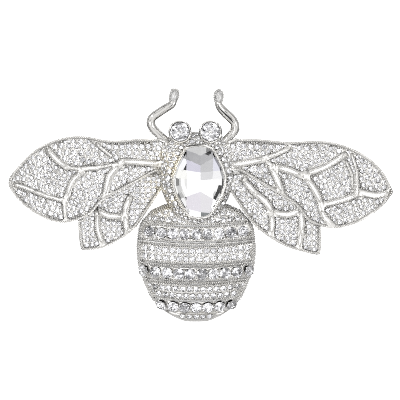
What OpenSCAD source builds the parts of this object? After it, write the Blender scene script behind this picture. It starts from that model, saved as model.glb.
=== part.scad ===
// Bee brooch: a cast metal bee lying on its back, set with clear cut stones.
// X runs from wing tip to wing tip, Y towards the head, Z up from the surface it rests on.

/* [Wings] */
// Reach of the left wing from the body's middle line
left_reach = 38; // [34:0.5:42]
// Reach of the right wing from the body's middle line
right_reach = 39.3; // [35:0.1:43]
// Depth of a front wing from its top edge to its lowest edge
wing_depth = 17.4; // [15.5:0.1:19.5]
// Height of the wings' underside at the middle line
wing_rise = 5.5; // [5.2:0.1:5.8]
// Thickness of a wing under its stones
wing_floor = 0.8; // [0.6:0.05:1.1]
// Height of the rims and veins above the stones' floor
rim_h = 0.4; // [0.25:0.05:0.6]
// Width of the rim round each wing
rim_w = 0.55; // [0.4:0.05:0.75]
// Width of metal on each side of a pierced slot
vein_w = 0.42; // [0.3:0.02:0.55]
// Widest slot between two veins
slot_w = 0.6; // [0.45:0.05:0.75]
// How far a vein runs on past the end of its slot
vein_run = 1.1; // [0.6:0.1:1.6]
// Step down from a front wing to the hind wing under it
wing_step = 1.0; // [0.8:0.05:1.1]

/* [Thorax and head] */
// Length of the thorax and head together
thorax_l = 18.4; // [17.8:0.1:19.5]
// Width of the thorax
thorax_w = 14.8; // [14:0.1:16]
// Height of the thorax's underside
thorax_base = 3.9; // [3.7:0.1:4.1]
// Height of the thorax above its underside
thorax_h = 4.1; // [3.9:0.1:4.4]
// Width between the middles of the eyes
eye_gap = 6.1; // [5.8:0.1:7]
// Thickness of the cup round an eye stone
eye_cup_wall = 0.35; // [0.25:0.05:0.5]

/* [Abdomen] */
// Length of the abdomen
abdomen_l = 23.7; // [22:0.1:26]
// Width of the abdomen
abdomen_w = 23.8; // [22.5:0.1:25.5]
// Height of the abdomen
abdomen_h = 7.4; // [7:0.1:8.4]
// Thickness of its wall
abdomen_wall = 1.5; // [1.2:0.1:2]
// Depth of the grooves between its bands
groove_d = 0.45; // [0.25:0.05:0.7]
// How far the bands bow towards the head at the sides
band_bow = 0.9; // [0.4:0.1:1.4]

/* [Antennae] */
// Length of an antenna along the body
antenna_l = 10.2; // [9:0.1:12]
// Reach of the left antenna's elbow from the middle line
antenna_reach = 9.6; // [8.8:0.1:11]
// Radius of an antenna's rod
antenna_r = 0.8; // [0.6:0.05:0.95]
// Height of the middle of an antenna's root
antenna_z = 5.4; // [5:0.1:5.8]

/* [Stones] */
// Length of the centre stone
stone_l = 14; // [13:0.1:15]
// Width of the centre stone
stone_w = 10; // [9.2:0.1:10.8]
// Height of the centre stone above its widest plane
stone_crown = 1.9; // [1.4:0.1:2.4]
// Depth of the centre stone below its widest plane
stone_pavilion = 3.2; // [2.8:0.1:3.4]
// Height of the centre stone's widest plane
stone_z = 8.3; // [8.1:0.1:8.8]
// Thickness of the wall round the centre stone
collet_wall = 0.5; // [0.4:0.05:0.7]
// Diameter of an eye stone
eye_d = 3.8; // [3.4:0.1:4]
// Diameter of the stones in the wide rows of the abdomen
large_d = 2.2; // [1.9:0.05:2.5]
// Diameter of the stones in the narrow rows of the abdomen
small_d = 1.25; // [1.05:0.05:1.4]
// Diameter of the stones round the centre stone
border_d = 1.15; // [0.95:0.05:1.3]
// Diameter of the larger stones on the wings
wing_d = 1.15; // [0.95:0.05:1.3]
// Free space between a stone and what holds it
stone_gap = 0.06; // [0.04:0.01:0.1]
// Free space between two neighbouring stones
stone_space = 0.12; // [0.1:0.01:0.2]

/* [Pin] */
// Length of the bar on the back
bar_l = 30; // [26:1:32]
// Width of the bar
bar_w = 2.8; // [2.4:0.1:2.9]
// Thickness of the bar
bar_t = 0.8; // [0.6:0.05:1]
// Diameter of the pin's stem
stem_d = 0.9; // [0.7:0.05:1.1]
// Height of the stem's middle above the surface
stem_z = 1.1; // [0.9:0.05:1.3]
// Free space between the bar and the thorax
bar_gap = 0.08; // [0.05:0.01:0.2]

/* [Hidden] */
$fn = 32;
// Places along the body, measured from the middle of the centre stone
wing_top = 8.82;
thorax_top = 10;
eye_y = 10.05;
eyes_off = -0.45;
antenna_y = 8.55;
abdomen_top = -4.25;
pin_y = 6.6;
stone_off = 0.3;
thorax_off = -0.2;
abdomen_off = -0.25;

// The origin is the middle of the whole brooch seen from above
shift_x = (left_reach - right_reach) / 2;
shift_y = -(antenna_y + antenna_l + abdomen_top - abdomen_l) / 2;

// Curves
function catmull(a, b, c, d, t) =
    0.5 * (2 * b + (c - a) * t + (2 * a - 5 * b + 4 * c - d) * t * t + (3 * b - a - 3 * c + d) * t * t * t);
function pick(list, i) = list[(i + len(list)) % len(list)];
function hold(list, i) = list[min(max(i, 0), len(list) - 1)];
function loop_curve(pts, steps) = [
    for (i = [0:len(pts) - 1], k = [0:steps - 1])
        catmull(pick(pts, i - 1), pts[i], pick(pts, i + 1), pick(pts, i + 2), k / steps)
];
function open_curve(pts, steps) = concat([
    for (i = [0:len(pts) - 2], k = [0:steps - 1])
        catmull(hold(pts, i - 1), pts[i], pts[i + 1], hold(pts, i + 2), k / steps)
], [pts[len(pts) - 1]]);
function unit(v) = v / max(norm(v), 1e-9);
function sum_to(list, n) = n <= 0 ? 0 : list[n - 1] + sum_to(list, n - 1);

// A row of a table, found by its first column
function row_at(table, s, i = 0) =
    (i >= len(table) - 2 || s <= table[i + 1][0])
        ? let (f = (s - table[i][0]) / (table[i + 1][0] - table[i][0]))
            table[i] + f * (table[i + 1] - table[i])
        : row_at(table, s, i + 1);

// Points at an even step along a closed outline, each with the outline's direction
function walk(pts, count) =
    let (
        n = len(pts),
        legs = [for (i = [0:n - 1]) norm(pick(pts, i + 1) - pts[i])],
        total = sum_to(legs, n)
    )
    [for (k = [0:count - 1]) walk_at(pts, legs, total * k / count, 0)];
function walk_at(pts, legs, left, i) =
    left <= legs[i]
        ? let (d = unit(pick(pts, i + 1) - pts[i])) [pts[i] + d * left, d]
        : walk_at(pts, legs, left - legs[i], i + 1);

// A band of changing width along an open line, blunt at both ends
function side_of(line, i) =
    let (d = unit(hold(line, i + 1) - hold(line, i - 1))) [-d[1], d[0]];
function ribbon(line, w, taper) =
    let (
        n = len(line),
        half = [for (i = [0:n - 1]) w / 2 * (1 - taper * pow(abs(2 * i / (n - 1) - 1), 2))]
    )
    concat(
        [for (i = [0:n - 1]) line[i] + side_of(line, i) * half[i]],
        [for (i = [n - 1:-1:0]) line[i] - side_of(line, i) * half[i]]
    );

// Wing outlines. Columns: out (share of the wing's reach), down (share of wing_depth)
LEFT_FORE = [
    [.158, .034], [.247, .017], [.326, .011], [.416, .029], [.495, .020], [.574, -.017], [.637, -.023],
    [.711, -.005], [.800, .063], [.863, .144], [.916, .247], [.963, .362], [.992, .448], [1, .517],
    [.989, .592], [.953, .701], [.900, .806], [.826, .908], [.758, .964], [.695, .977], [.632, .942],
    [.584, .902], [.547, .839], [.516, .753], [.463, .669], [.379, .575], [.289, .466], [.221, .391],
    [.158, .345]
];
LEFT_HIND = [
    [.168, .391], [.300, .414], [.405, .529], [.495, .632], [.563, .759], [.626, .851], [.630, .966],
    [.626, 1.126], [.618, 1.241], [.611, 1.284], [.584, 1.292], [.537, 1.283], [.474, 1.245],
    [.416, 1.178], [.353, 1.086], [.316, 1.000], [.268, .845], [.221, .690], [.189, .592], [.158, .506]
];
RIGHT_FORE = [
    [.153, .034], [.239, .015], [.321, .015], [.402, .034], [.473, .046], [.539, .038], [.606, .031],
    [.672, .041], [.738, .077], [.803, .131], [.865, .209], [.917, .307], [.963, .434], [.989, .560],
    [1, .621], [.987, .667], [.952, .770], [.901, .866], [.830, .966], [.758, 1.018], [.697, 1.043],
    [.626, 1.015], [.580, .975], [.542, .897], [.514, .810], [.473, .724], [.417, .644], [.351, .557],
    [.280, .460], [.219, .385], [.153, .345]
];
RIGHT_HIND = [
    [.163, .391], [.290, .408], [.382, .529], [.463, .644], [.534, .770], [.616, .897], [.628, 1.023],
    [.633, 1.172], [.628, 1.299], [.621, 1.340], [.585, 1.336], [.524, 1.301], [.451, 1.250],
    [.377, 1.160], [.313, 1.052], [.261, .930], [.215, .778], [.176, .650], [.150, .560]
];

// Pierced slots. Columns: out and down of the start, the middle and the end, share of slot_w
LEFT_SLOTS = [
    [.384, .270, .300, .279, .211, .299, .85], [.421, .333, .466, .437, .484, .626, .85],
    [.621, .414, .663, .506, .684, .644, .7], [.779, .161, .747, .241, .700, .322, .7]
];
LEFT_HIND_SLOTS = [
    [.511, .851, .468, .897, .405, .902, .85], [.526, .897, .526, 1.046, .505, 1.184, .7],
    [.361, .713, .374, .776, .382, .839, .85], [.382, .920, .376, .989, .374, 1.057, .7]
];
RIGHT_SLOTS = [
    [.178, .310, .247, .287, .326, .253, .85], [.382, .368, .402, .460, .427, .598, 1],
    [.417, .345, .463, .368, .514, .414, 1], [.570, .402, .651, .333, .738, .213, .8],
    [.565, .494, .598, .598, .626, .724, .9], [.662, .753, .738, .713, .799, .661, .7],
    [.830, .621, .906, .661, .967, .632, .85], [.634, .851, .651, .920, .677, .977, .7]
];
RIGHT_HIND_SLOTS = [
    [.397, .862, .458, .885, .514, .839, 1], [.527, .862, .532, .966, .529, 1.057, .85],
    [.527, 1.103, .524, 1.172, .519, 1.230, .6], [.305, .655, .346, .730, .377, .828, 1],
    [.244, .506, .267, .563, .290, .621, .85], [.377, .908, .382, .989, .377, 1.069, .7]
];

// Raised veins without a slot, in the same columns with a share of vein_w at the end
LEFT_VEINS = [
    [.537, .057, .489, .149, .447, .218, 1.6], [.384, .270, .450, .305, .521, .345, 1.6],
    [.700, .322, .665, .345, .616, .356, 1.6], [.684, .644, .705, .793, .690, .960, 1.6],
    [.616, .356, .568, .347, .521, .345, 2.6], [.975, .530, .921, .563, .870, .605, 2.2],
    [.870, .605, .795, .672, .700, .720, 2.2]
];
RIGHT_VEINS = [
    [.346, .230, .407, .184, .478, .103, 2.4], [.326, .253, .375, .300, .417, .345, 1.6],
    [.514, .414, .540, .420, .570, .402, 1.6], [.784, .172, .814, .368, .819, .598, 1.4],
    [.753, .253, .789, .425, .789, .598, 1.4], [.626, .724, .630, .790, .634, .851, 1.6],
    [.540, .420, .550, .450, .565, .494, 1.6], [.427, .598, .440, .650, .445, .700, 1.6]
];

// Lines of the larger wing stones. Columns: out and down of both ends
LEFT_LINES = [
    [.26, .098, .465, .105], [.555, .095, .72, .088], [.285, .365, .375, .370], [.515, .445, .575, .450],
    [.81, .25, .90, .38], [.76, .42, .92, .47], [.245, .172, .40, .170], [.575, .172, .73, .168]
];
RIGHT_LINES = [
    [.235, .095, .41, .108], [.52, .115, .68, .125], [.49, .205, .64, .205], [.275, .362, .345, .370],
    [.455, .50, .520, .520], [.855, .32, .910, .43], [.65, .50, .73, .43], [.235, .172, .30, .170]
];

// Thorax and head. Columns: share of the length, share of half the width, share of the height
THORAX = [
    [0, .30, .34], [.025, .50, .42], [.065, .88, .54], [.137, .95, .68], [.214, .97, .82], [.322, 1, .95],
    [.445, 1, 1], [.553, .98, 1], [.639, .93, .97], [.72, .86, .96], [.79, .76, .95], [.872, .62, .90],
    [.949, .42, .80], [1, .18, .62]
];

// Abdomen. Columns: share of the length, share of half the width, share of the height
ABDOMEN = [
    [0, .46, .74], [.05, .62, .80], [.11, .77, .86], [.20, .925, .93], [.31, .98, .98], [.43, .995, 1],
    [.54, .98, .99], [.66, .91, .95], [.78, .81, .86], [.87, .71, .76], [.935, .54, .66], [.975, .36, .56],
    [1, .18, .48]
];
// Its raised bands, with thin ridges between some. Columns: start and end, as shares of the length
BANDS = [
    [.012, .181], [.203, .321], [.338, .350], [.367, .506], [.519, .532], [.544, .650], [.662, .675],
    [.688, .814], [.831, .924], [.934, .994]
];
band_edge = 0.006;
wide_band = 0.05;
side_share = 0.5;

// Rows of stones on the abdomen. Columns: share of the length, share of the width filled
LARGE_ROWS = [[.262, 1], [.597, 1.03], [.878, 1.05]];
SMALL_ROWS = [[.150, .90], [.402, .93], [.470, .93], [.726, .91], [.784, .89], [.958, .66]];

// Antennae. Columns: share of antenna_reach, share of antenna_l, rise, share of antenna_r
LEFT_ANTENNA = [
    [.545, -.12, -.2, 1], [.800, .090, .2, 1], [.920, .210, .5, 1], [.975, .325, .8, 1.05],
    [.945, .415, 1, 1.05], [.820, .51, 1.1, 1.03], [.655, .612, 1.2, 1.03], [.540, .680, 1.2, .95], [.500, .750, 1.2, .9],
    [.485, .863, 1.1, 1.05], [.465, .955, 1, 1.1], [.457, .983, 1, .7]
];
RIGHT_ANTENNA = [
    [.490, -.12, -.2, 1], [.700, .090, .2, 1], [.768, .165, .4, 1.05], [.785, .245, .6, 1.05],
    [.770, .320, .8, 1.05], [.712, .400, .9, 1.05], [.585, .520, 1.1, 1.05], [.478, .620, 1.2, 1],
    [.435, .700, 1.2, .9], [.425, .790, 1.1, 1], [.440, .875, 1, 1.25], [.446, .930, 1, 1.1],
    [.448, .962, 1, .6]
];

// Centre stone's outline. Columns: share of half the width, share of half the length
STONE = [
    [0, 1], [.30, .985], [.50, .93], [.66, .72], [.86, .45], [.99, .17], [.98, -.10], [.86, -.36],
    [.68, -.60], [.52, -.80], [.36, -.95], [0, -1]
];

function reach(side) = side < 0 ? left_reach : right_reach;
// Radius of the arch that brings a wing's tip down to the surface
function arch_r(side) = (pow(reach(side), 2) + wing_rise * wing_rise) / (2 * wing_rise);
function on_wing(side, out, down) = [side * out * reach(side), wing_top - down * wing_depth];
function wing_curve(side, table, steps) =
    loop_curve([for (p = table) on_wing(side, p[0], p[1])], steps);
function slot_line(side, s, steps) =
    open_curve([for (k = [0, 2, 4]) on_wing(side, s[k], s[k + 1])], steps);
function run_on(line, run) =
    let (n = len(line), a = unit(line[0] - line[1]), b = unit(line[n - 1] - line[n - 2]))
    concat([line[0] + a * run], line, [line[n - 1] + b * run]);

// Arched solids: a cross-section with an upright side and a flat-topped arch
abdomen_power = 3.2;
thorax_power = 4;
arch_steps = 10;
function arch_u(k) = -cos(180 * k / arch_steps);
function arch_up(u, power) = pow(max(1 - pow(abs(u), power), 0), 1 / power);
THORAX_CURVE = open_curve(THORAX, 2);
ABDOMEN_CURVE = open_curve(ABDOMEN, 2);
function abdomen_row(s) = row_at(ABDOMEN_CURVE, s);
function thorax_row(s) = row_at(THORAX_CURVE, s);
function abdomen_point(s, u, sink) =
    let (
        r = abdomen_row(s),
        h = r[2] * abdomen_h - sink,
        side = side_share * r[2] * abdomen_h - sink,
        bow = band_bow * u * u * min(s, 1 - s, 0.1) / 0.1
    )
    [
        abdomen_off + u * r[1] * abdomen_w / 2,
        abdomen_top - s * abdomen_l + bow,
        side + (h - side) * arch_up(u, abdomen_power)
    ];
function thorax_point(s, u) =
    let (r = thorax_row(s))
    [
        thorax_off + u * r[1] * thorax_w / 2,
        thorax_top - s * thorax_l,
        thorax_base + r[2] * thorax_h * arch_up(u, thorax_power)
    ];

// The solid between rings of points, closed at both ends
module rings(list) {
    n = len(list[0]);
    m = len(list);
    faces = concat(
        [for (i = [0:m - 2], k = [0:n - 1]) each [
            [i * n + k, i * n + (k + 1) % n, (i + 1) * n + k],
            [i * n + (k + 1) % n, (i + 1) * n + (k + 1) % n, (i + 1) * n + k]
        ]],
        [for (k = [1:n - 2]) [0, k + 1, k]],
        [for (k = [1:n - 2]) [(m - 1) * n, (m - 1) * n + k, (m - 1) * n + k + 1]]
    );
    polyhedron([for (ring = list) each ring], faces);
}

// A round bar along a line of points with a radius at each
module tube(line, radii, sides) {
    rings([
        for (i = [0:len(line) - 1])
            let (
                d = unit(hold(line, i + 1) - hold(line, i - 1)),
                a = unit(cross(d, [0, 0, 1])),
                b = cross(a, d)
            )
            [for (k = [0:sides - 1])
                line[i] + radii[i] * (a * cos(360 * k / sides) + b * sin(360 * k / sides))]
    ]);
}

// One wing, from flat shapes wrapped onto an arch about the body's middle line
arch_facets = 120;
// Half the arch's length along the body, and the height of a shape before the arch trims it
arch_half = 2.3 * wing_depth;
trim_h = 20;
// How far a cutting shape runs past what it cuts
past = 1;
module arch_solid(side, low, high) {
    r = arch_r(side);
    translate([0, arch_half, wing_rise - r])
        rotate([90, 0, 0])
            difference() {
                cylinder(r = r + high, h = 2 * arch_half, $fn = arch_facets);
                translate([0, 0, -past])
                    cylinder(r = r + low, h = 2 * (arch_half + past), $fn = arch_facets);
            }
}

module veins(side, slots, plain) {
    for (s = slots)
        polygon(ribbon(run_on(slot_line(side, s, 2), vein_run), slot_w * s[6] + 2 * vein_w, 0));
    for (s = plain)
        polygon(ribbon(slot_line(side, s, 2), vein_w * s[6], 0));
}

slot_taper = 0.75;
module slots(side, list) {
    for (s = list)
        polygon(ribbon(slot_line(side, s, 2), slot_w * s[6], slot_taper));
}

// A wing with its stones' floor sunk between its veins, except where another wing lies on it
cover_inset = 0.17;
module wing(side, outline, slot_list, vein_list, drop, cover = []) {
    top = wing_floor + rim_h;
    difference() {
        intersection() {
            linear_extrude(trim_h)
                polygon(outline);
            arch_solid(side, -drop, top - drop);
        }
        intersection() {
            linear_extrude(trim_h)
                difference() {
                    offset(delta = -rim_w)
                        polygon(outline);
                    veins(side, slot_list, vein_list);
                    if (len(cover) > 0)
                        offset(delta = -cover_inset)
                            polygon(cover);
                }
            arch_solid(side, wing_floor - drop, top - drop + past);
        }
    }
}

module wing_pair(side) {
    fore = side < 0 ? LEFT_FORE : RIGHT_FORE;
    hind = side < 0 ? LEFT_HIND : RIGHT_HIND;
    fore_slots = side < 0 ? LEFT_SLOTS : RIGHT_SLOTS;
    hind_slots = side < 0 ? LEFT_HIND_SLOTS : RIGHT_HIND_SLOTS;
    fore_veins = side < 0 ? LEFT_VEINS : RIGHT_VEINS;
    fore_outline = wing_curve(side, fore, 2);
    difference() {
        union() {
            wing(side, fore_outline, fore_slots, fore_veins, 0);
            wing(side, wing_curve(side, hind, 2), hind_slots, [], wing_step, fore_outline);
        }
        translate([0, 0, -past])
            linear_extrude(trim_h)
                slots(side, concat(fore_slots, hind_slots));
    }
}

module thorax() {
    rings([
        for (r = THORAX)
            [for (k = [0:arch_steps]) thorax_point(r[0], arch_u(k))]
    ]);
}

// The abdomen's outside follows its bands; its inside is smooth and open below
function band_rings() = concat(
    [[0, groove_d]],
    [for (b = BANDS) each concat(
        [[b[0], groove_d], [b[0] + band_edge, 0]],
        b[1] - b[0] > wide_band ? [[(b[0] + b[1]) / 2, 0]] : [],
        [[b[1] - band_edge, 0], [b[1], groove_d]]
    )],
    [[1, groove_d]]
);
module abdomen() {
    difference() {
        rings([
            for (s = band_rings())
                concat(
                    [for (k = [0:arch_steps]) abdomen_point(s[0], arch_u(k), s[1])],
                    [for (u = [1, -1]) let (p = abdomen_point(s[0], u, 0)) [p[0], p[1], 0]]
                )
        ]);
        abdomen_hollow();
    }
}
hollow_steps = 6;
module abdomen_hollow() {
    inset_y = abdomen_wall / abdomen_l;
    stations = [for (k = [0:hollow_steps]) inset_y + (1 - 2 * inset_y) * k / hollow_steps];
    rings([
        for (s = stations)
            let (
                inset_x = 1 - 2 * abdomen_wall / (abdomen_row(s)[1] * abdomen_w),
                deep = abdomen_wall + groove_d
            )
            concat(
                [for (k = [0:arch_steps]) let (p = abdomen_point(s, arch_u(k), deep))
                    [abdomen_off + (p[0] - abdomen_off) * inset_x, p[1], p[2]]],
                [for (u = [1, -1]) let (p = abdomen_point(s, u, deep))
                    [abdomen_off + (p[0] - abdomen_off) * inset_x, p[1], -past]]
            )
    ]);
}

rod_sides = 8;
module antenna(side, table) {
    pts = open_curve([
        for (p = table)
            [side * p[0] * antenna_reach, antenna_y + p[1] * antenna_l, antenna_z + p[2], p[3] * antenna_r]
    ], 2);
    tube([for (p = pts) [p[0], p[1], p[2]]], [for (p = pts) p[3]], rod_sides);
}

// Centre stone and the wall that holds it
function stone_outline(grow) =
    let (
        right = [for (p = STONE) [p[0] * stone_w / 2, p[1] * stone_l / 2]],
        n = len(right),
        ring = loop_curve(concat(right, [for (i = [n - 2:-1:1]) [-right[i][0], right[i][1]]]), 1),
        m = len(ring)
    )
    [for (i = [0:m - 1])
        let (d = unit(pick(ring, i + 1) - pick(ring, i - 1))) ring[i] + grow * [-d[1], d[0]]];

module place_stone() {
    translate([stone_off, 0, stone_z])
        children();
}

collet_drop = 3.4;
collet_lip = 0.3;
girdle_t = 0.4;
seat_share = 0.8;
module collet() {
    place_stone()
        translate([0, 0, -collet_drop])
            linear_extrude(collet_drop + collet_lip)
                polygon(stone_outline(stone_gap + collet_wall));
}
module stone_pocket() {
    seat_drop = girdle_t + (1 - seat_share) * stone_pavilion + stone_gap;
    place_stone() {
        translate([0, 0, -seat_drop])
            linear_extrude(seat_drop + 2 * collet_lip)
                polygon(stone_outline(stone_gap));
        translate([0, 0, -girdle_t - stone_pavilion - stone_gap])
            linear_extrude(stone_pavilion)
                scale(seat_share + 2 * stone_gap / stone_w)
                    polygon(stone_outline(0));
    }
}

// Eye cups, each with four small claws on its wall
function eye_x(side) = eyes_off + side * eye_gap / 2;
eye_z = 7.4;
eye_cup_h = 3;
eye_crown = 0.6;
eye_depth = 1.5;
eye_claw_h = 0.3;
eye_cup_d = eye_d + 2 * stone_gap + 2 * eye_cup_wall;
module place_eye(side) {
    translate([eye_x(side), eye_y, eye_z])
        children();
}
module eye_cup(side) {
    place_eye(side)
        translate([0, 0, -eye_cup_h])
            cylinder(d = eye_cup_d, h = eye_cup_h);
}
module eye_claws(side) {
    place_eye(side)
        for (a = [45:90:315])
            rotate(a)
                translate([eye_d / 2 + stone_gap + eye_cup_wall / 2, 0, 0])
                    hull() {
                        translate([0, 0, -eye_claw_h])
                            sphere(d = eye_cup_wall, $fn = 6);
                        translate([0, 0, eye_claw_h])
                            sphere(d = eye_cup_wall, $fn = 6);
                    }
}
module eye_pocket(side) {
    seat_drop = girdle_t / 2 + (1 - seat_share) * eye_depth + stone_gap;
    place_eye(side) {
        translate([0, 0, -seat_drop])
            cylinder(d = eye_d + 2 * stone_gap, h = 2 * seat_drop);
        translate([0, 0, -eye_depth - stone_gap])
            cylinder(d = eye_d * seat_share + 2 * stone_gap, h = eye_depth);
    }
}

module frame() {
    color("silver") {
        difference() {
            union() {
                wing_pair(-1);
                wing_pair(1);
                thorax();
                abdomen();
                antenna(-1, LEFT_ANTENNA);
                antenna(1, RIGHT_ANTENNA);
                collet();
                eye_cup(-1);
                eye_cup(1);
            }
            stone_pocket();
            eye_pocket(-1);
            eye_pocket(1);
        }
        eye_claws(-1);
        eye_claws(1);
    }
}

// Cut stones: a table, eight crown facets and a flat back, and below the edge eight more if wanted
function facet_ring(r, z, sides, turn = 0.5) =
    [for (k = [0:sides - 1]) [r * cos(360 * (k + turn) / sides), r * sin(360 * (k + turn) / sides), z]];
// Shares of its diameter: crown height, edge height over the back, table radius, back radius
cut_sides = 8;
cut_crown = 0.22;
cut_edge = 0.16;
cut_table = 0.29;
cut_back = 0.3;
module cut_stone(d, lower = false) {
    edge_z = lower ? d * cut_edge : 0;
    rings(concat(
        [facet_ring(d * cut_table, edge_z + d * cut_crown, cut_sides), facet_ring(d / 2, edge_z, cut_sides)],
        lower ? [facet_ring(d * cut_back, 0, cut_sides)] : []
    ));
}

// A round stone with a point below, for the eyes
eye_sides = 16;
eye_table = 0.56;
point_share = 0.07;
module eye_stone(side) {
    r = eye_d / 2;
    color("white")
        translate([eye_x(side), eye_y, eye_z])
            rings([
                facet_ring(r * eye_table, eye_crown, eye_sides),
                facet_ring(r, 0, eye_sides),
                facet_ring(r, -girdle_t / 2, eye_sides),
                facet_ring(r * point_share, -eye_depth, eye_sides)
            ]);
}

// The centre stone: a table, two tiers of crown facets, an edge and a long point below
mid_share = 0.80;
mid_rise = 0.66;
table_share = 0.58;
module centre_stone() {
    outline = stone_outline(0);
    m = len(outline);
    ring = function (grow, z) [for (i = [m - 1:-1:0]) [outline[i][0] * grow, outline[i][1] * grow, z]];
    color("white")
        place_stone()
            rings([
                ring(table_share, stone_crown), ring(mid_share, stone_crown * mid_rise), ring(1, 0),
                ring(1, -girdle_t), ring(point_share, -girdle_t - stone_pavilion)
            ]);
}

// Stands what follows on a surface point, turned to face along the surface's own direction
module stand_on(p, across, along) {
    z = unit(cross(across, along));
    x = unit(across);
    y = cross(z, x);
    multmatrix([
        [x[0], y[0], z[0], p[0] + z[0] * stone_gap],
        [x[1], y[1], z[1], p[1] + z[1] * stone_gap],
        [x[2], y[2], z[2], p[2] + z[2] * stone_gap],
        [0, 0, 0, 1]
    ])
        children();
}
near = 0.01;
module on_abdomen(s, u) {
    stand_on(
        abdomen_point(s, u, 0),
        abdomen_point(s, u + near, 0) - abdomen_point(s, u - near, 0),
        abdomen_point(s - near, u, 0) - abdomen_point(s + near, u, 0)
    )
        children();
}
module on_thorax(s, u) {
    stand_on(
        thorax_point(s, u),
        thorax_point(s, u + near) - thorax_point(s, u - near),
        thorax_point(s - near, u) - thorax_point(s + near, u)
    )
        children();
}
module on_wing_at(side, p, drop) {
    r = arch_r(side) + wing_floor - drop;
    translate([0, p[1], wing_rise - arch_r(side)])
        rotate([0, asin(p[0] / r), 0])
            translate([0, 0, r + stone_gap])
                children();
}

// How many stones of one size fit along a row, and where each stands
function row_count(s, fill, d) =
    floor(fill * abdomen_row(s)[1] * abdomen_w / (d + stone_space));
function row_u(s, d, count, i) =
    (i - (count - 1) / 2) * (d + stone_space) / (abdomen_row(s)[1] * abdomen_w / 2);
function large_count(r) = row_count(LARGE_ROWS[r][0], LARGE_ROWS[r][1], large_d);

module large_stone(r, i) {
    s = LARGE_ROWS[r][0];
    color("white")
        on_abdomen(s, row_u(s, large_d, large_count(r), i))
            cut_stone(large_d, true);
}
module small_row(r) {
    s = SMALL_ROWS[r][0];
    count = row_count(s, SMALL_ROWS[r][1], small_d);
    for (i = [0:count - 1])
        let (u = row_u(s, small_d, count, i), p = abdomen_point(s, u, 0))
            if (clear_of_thorax(p))
                on_abdomen(s, u)
                    cut_stone(small_d);
}
// True where the thorax leaves the abdomen's stones in the open
function clear_of_thorax(p) =
    let (s = (thorax_top - p[1] - small_d / 2) / thorax_l)
    s >= 1 || abs(p[0] - thorax_off) > thorax_row(s)[1] * thorax_w / 2 + small_d / 2;

module neck_row_stones() {
    color("white")
        small_row(0);
}
module upper_small_stones() {
    color("white") {
        small_row(1);
        small_row(2);
    }
}
module lower_small_stones() {
    color("white") {
        small_row(3);
        small_row(4);
    }
}
module tail_stones() {
    color("white")
        small_row(5);
}

// One ring of stones on the thorax round the collet, a little apart from it and from each other
border_out = 0.62;
border_apart = 1.6;
module thorax_stones() {
    line = stone_outline(stone_gap + collet_wall + border_d * border_out);
    legs = [for (i = [0:len(line) - 1]) norm(pick(line, i + 1) - line[i])];
    count = floor(sum_to(legs, len(line)) / (border_d + border_apart * stone_space));
    color("white")
        for (e = walk(line, count))
            let (
                s = (thorax_top - e[0][1]) / thorax_l,
                u = (e[0][0] + stone_off - thorax_off) / (thorax_row(s)[1] * thorax_w / 2)
            )
                if (s < thorax_stones_end && abs(u) < thorax_stones_side && clear_of_eyes(e[0]))
                    on_thorax(s, u)
                        cut_stone(border_d);
}
thorax_stones_end = 0.82;
thorax_stones_side = 0.925;
// True where a thorax stone misses both eye cups
function clear_of_eyes(p) =
    min([for (side = [-1, 1]) norm([p[0] + stone_off - eye_x(side), p[1] - eye_y])])
        > (eye_cup_d + border_d) / 2 + stone_gap;

module wing_stones(side) {
    color("white")
        for (l = side < 0 ? LEFT_LINES : RIGHT_LINES)
            let (
                a = on_wing(side, l[0], l[1]),
                b = on_wing(side, l[2], l[3]),
                count = floor(norm(b - a) / (wing_d + stone_space))
            )
                for (i = [0:count])
                    on_wing_at(side, a + (b - a) * i / count, 0)
                        cut_stone(wing_d);
}
module left_wing_stones() {
    wing_stones(-1);
}
module right_wing_stones() {
    wing_stones(1);
}

// The pin on the back: a bar, a knuckle, a stem and a catch in one piece
knuckle = 2.2;
module pin() {
    top = thorax_base - bar_gap;
    color("gray") {
        translate([-bar_l / 2, pin_y - bar_w / 2, top - bar_t])
            cube([bar_l, bar_w, bar_t]);
        for (side = [-1, 1])
            translate([side * (bar_l - knuckle) / 2 - knuckle / 2, pin_y - knuckle / 2, stem_z - stem_d / 2])
                cube([knuckle, knuckle, top - bar_t / 2 - stem_z + stem_d / 2]);
        translate([-bar_l / 2 + knuckle / 2, pin_y, stem_z])
            rotate([0, 90, 0])
                cylinder(d = stem_d, h = bar_l);
    }
}

LARGE_NAMES = ["upper_row_stone", "middle_row_stone", "lower_row_stone"];
function large_name(r, i) = str(LARGE_NAMES[r], "_", i + 1);

module at_origin() {
    translate([shift_x, shift_y, 0])
        children();
}

at_origin() frame();
at_origin() pin();
at_origin() centre_stone();
at_origin() eye_stone(-1);  // left_eye_stone
at_origin() eye_stone(1);  // right_eye_stone
at_origin() neck_row_stones();
at_origin() upper_small_stones();
at_origin() lower_small_stones();
at_origin() tail_stones();
at_origin() thorax_stones();
at_origin() left_wing_stones();
at_origin() right_wing_stones();
for (r = [0:2], i = [0:large_count(r) - 1])
    at_origin() large_stone(r, i);
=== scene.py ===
"""Bee brooch: the looks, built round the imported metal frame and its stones."""
import math
import random
from collections import defaultdict
from functools import cache

import bmesh
import bpy
import numpy as np
from bmesh.types import BMEdge, BMVert
from bpy.props import FloatProperty, FloatVectorProperty, IntProperty, PointerProperty
from mathutils import Matrix, Vector
from mathutils.bvhtree import BVHTree


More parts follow.
